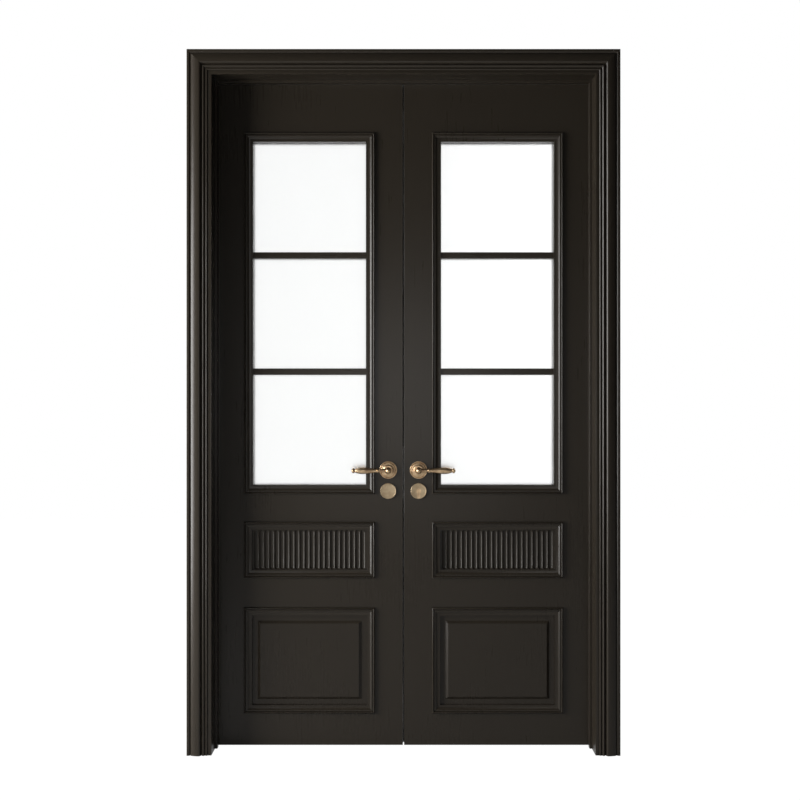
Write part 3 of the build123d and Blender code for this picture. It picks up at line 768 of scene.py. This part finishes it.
def makeScrews():
    radius = screw["headRadius"]
    profile = [(-screw["sunk"], radius * 0.7), (0, radius), (screw["headRise"] * 0.6, radius * 0.93)]
    profile.append((screw["headRise"], radius * 0.55))
    model = turned("screwModel", profile, 24)
    bpy.ops.object.select_all(action="DESELECT")
    bpy.ops.mesh.primitive_cube_add(
        size=1,
        location=(0, 0, screw["headRise"]),
        scale=(3 * radius, screw["slotWidth"], 2 * screw["slotDepth"]),
    )
    slotCutter = bpy.context.object
    bpy.ops.object.transform_apply()
    applied(model, "BOOLEAN", operation="DIFFERENCE", solver="EXACT", object=slotCutter)
    bpy.data.objects.remove(slotCutter)
    smoothed(model)
    groups = []
    for side, sign in signOfSide.items():
        for carrier, facing in (("frame", -sign), ("leaf", sign)):
            low, high = corners(f"hinge_{carrier}_plates_{side}")
            faceX = sign * screw["plateFaces"][carrier]
            halfPlate = screw["halfPlate"]
            places = []
            for centre in (low.z + halfPlate, (low.z + high.z) / 2, high.z - halfPlate):
                for step, along in screw["platePlaces"]:
                    places.append((faceX, low.y + along, centre + step))
            body = "frame" if carrier == "frame" else bodyOfSide[side]
            name = f"hingeScrews_{carrier}_{side}"
            groups.append((name, places, facing, body, "hinge_bronze", hingeBronze))
    for node, body, facing in (("lock_forend", "leaf_right", -1), ("strike_plate", "leaf_left", 1)):
        low, high = corners(node)
        faceX = low.x if facing < 0 else high.x
        levels = (low.z + screw["fromEnd"], high.z - screw["fromEnd"])
        places = [(faceX, leafMiddle, level) for level in levels]
        groups.append((f"{node}_screws", places, facing, body, "lock_steel", lockSteel))
    for number, (name, places, facing, body, slot, material) in enumerate(groups):
        made = []
        for step, place in enumerate(places):
            slotTurn = 0.6 * math.sin(7.3 * step + number)
            turn = Matrix.Rotation(math.radians(90) * facing, 4, "Y") @ Matrix.Rotation(slotTurn, 4, "Z")
            made.append(copied(model, name, place, turn.to_euler()))
        for piece in made:
            piece.select_set(True)
        bpy.context.view_layer.objects.active = made[0]
        bpy.ops.object.join()
        settled(made[0], body, slot, material)
    bpy.data.objects.remove(model)


# a pile strip in the right leaf's meeting edge, which closes the gap to sight; its near-black colour is
# partly the pile's own dark tone and partly painted shade for the dark meeting gap
brush = {
    "low": -0.00123,
    "high": 0.0030,
    "front": 0.0405,
    "rear": 0.0465,
    "crown": 0.0008,
    "headRise": 0.002,
}


def makeMeetingBrush():
    low, high = corners("leaf_slab_right")
    top = high.z + brush["headRise"]
    size = (brush["high"] - brush["low"], brush["rear"] - brush["front"], top - low.z)
    centre = ((brush["high"] + brush["low"]) / 2, (brush["rear"] + brush["front"]) / 2, (low.z + top) / 2)
    bpy.ops.object.select_all(action="DESELECT")
    bpy.ops.mesh.primitive_cube_add(size=1, location=centre, scale=size)
    pile = bpy.context.object
    pile.name = "meetingBrush"
    bpy.ops.object.transform_apply()
    applied(pile, "BEVEL", width=brush["crown"], segments=3, limit_method="ANGLE", angle_limit=0.7)
    settled(smoothed(pile), "leaf_right", "seal_rubber", pileAndGapShade)


makeCasings()
print("casings made")
makeMouldings()
print("planted mouldings made")
makeFlutedPanels()
print("fluted panels made")
makeRoses()
makeLevers()
makeEscutcheons()
print("handles made")
makeScrews()
makeMeetingBrush()
print("screws and meeting brush made")


# studio
studio = {
    "cameraPlace": (0, -4.175, 1.184),
    "lens": 55.03,
    "shift": (-3.5 / 800, 0),
    "floorSize": 16,
    "floorColour": (0.45, 0.45, 0.45),
    "floorMix": 0.94,
    "floorGlow": 1.07,
    "floorGlossy": 0.4,
    "fillLeft": 0.16,
    "fillRight": 0.02,
    "glossyLeft": 1.0,
    "glossyRight": 0.08,
    "lamps": {
        "leftSoftbox": {
            "place": (-3.1, -1.0, 1.3),
            "aim": (0.1, -0.1, 1.15),
            "size": (2.5, 2.2),
            "power": 330,
        },
        "frontFill": {
            "place": (0.0, -4.6, 1.25),
            "aim": (0, 0, 1.15),
            "size": (1.2, 1.2),
            "power": 15,
        },
        "rearFill": {
            "place": (2.6, 3.4, 2.0),
            "aim": (0, 0, 1.15),
            "size": (2.0, 2.0),
            "power": 90,
        },
    },
}


def aimed(place, target):
    return (Vector(target) - Vector(place)).to_track_quat("-Z", "Y").to_euler()


def makeStudio():
    for name, look in studio["lamps"].items():
        rotation = aimed(look["place"], look["aim"])
        bpy.ops.object.light_add(type="AREA", location=look["place"], rotation=rotation)
        lamp = bpy.context.object
        lamp.name = name
        lamp.data.shape = "RECTANGLE"
        lamp.data.size, lamp.data.size_y = look["size"]
        lamp.data.energy = look["power"]
    bpy.ops.mesh.primitive_plane_add(size=studio["floorSize"])
    floor = bpy.context.object
    floor.name = "floor"
    material, finish = newFinish("floorFinish")
    seenFloor = finish.node("ShaderNodeLightPath", output=0)
    mirroredFloor = finish.node("ShaderNodeLightPath", output=3) * studio["floorGlossy"]
    throughFloor = finish.node("ShaderNodeLightPath", output=6)
    rays = finish.node("ShaderNodeMath", {"operation": "MAXIMUM"}, {0: seenFloor, 1: throughFloor})
    rays = finish.node("ShaderNodeMath", {"operation": "MAXIMUM"}, {0: rays, 1: mirroredFloor})
    plain = finish.surface(Base_Color=studio["floorColour"], Roughness=0.9, Specular_IOR_Level=0.0)
    glow = {"Color": (1, 1, 1, 1), "Strength": studio["floorGlow"]}
    bright = finish.node("ShaderNodeEmission", inputs=glow)
    mixed = finish.node("ShaderNodeMixShader", inputs={0: rays * studio["floorMix"], 1: plain, 2: bright})
    finish.output(mixed)
    dress(floor, material)

    world = bpy.data.worlds.new("studioWorld")
    bpy.context.scene.world = world
    world.use_nodes = True
    sky = Finish(world.node_tree)
    seen = sky.node("ShaderNodeLightPath", output=0)
    glossy = sky.node("ShaderNodeLightPath", output=3)
    through = sky.node("ShaderNodeLightPath", output=6)
    direction = sky.node("ShaderNodeTexCoord", output=0)
    across = sky.node("ShaderNodeSeparateXYZ", inputs={"Vector": direction})
    rightward = sky.node("ShaderNodeMapRange", inputs={"Value": across, "From Min": -0.95, "From Max": -0.35})
    reflected = studio["glossyLeft"] - (studio["glossyLeft"] - studio["glossyRight"]) * rightward
    clear = sky.node("ShaderNodeMath", {"operation": "MAXIMUM"}, {0: seen, 1: through})
    leftward = sky.node("ShaderNodeMapRange", inputs={"Value": across, "From Min": 0.5, "From Max": -0.4})
    fill = studio["fillRight"] + (studio["fillLeft"] - studio["fillRight"]) * leftward
    strength = clear + (1 - clear) * (glossy * reflected + (1 - glossy) * fill)
    light = sky.node("ShaderNodeBackground", inputs={"Color": (1, 1, 1, 1), "Strength": strength})
    sky.node("ShaderNodeOutputWorld", inputs={"Surface": light})

    bpy.ops.object.camera_add(location=studio["cameraPlace"], rotation=(math.radians(90), 0, 0))
    camera = bpy.context.object
    camera.data.lens = studio["lens"]
    camera.data.sensor_width = 36
    camera.data.shift_x, camera.data.shift_y = studio["shift"]
    bpy.context.scene.camera = camera
    bpy.context.scene.view_settings.view_transform = "Standard"


makeStudio()
print("studio ready")
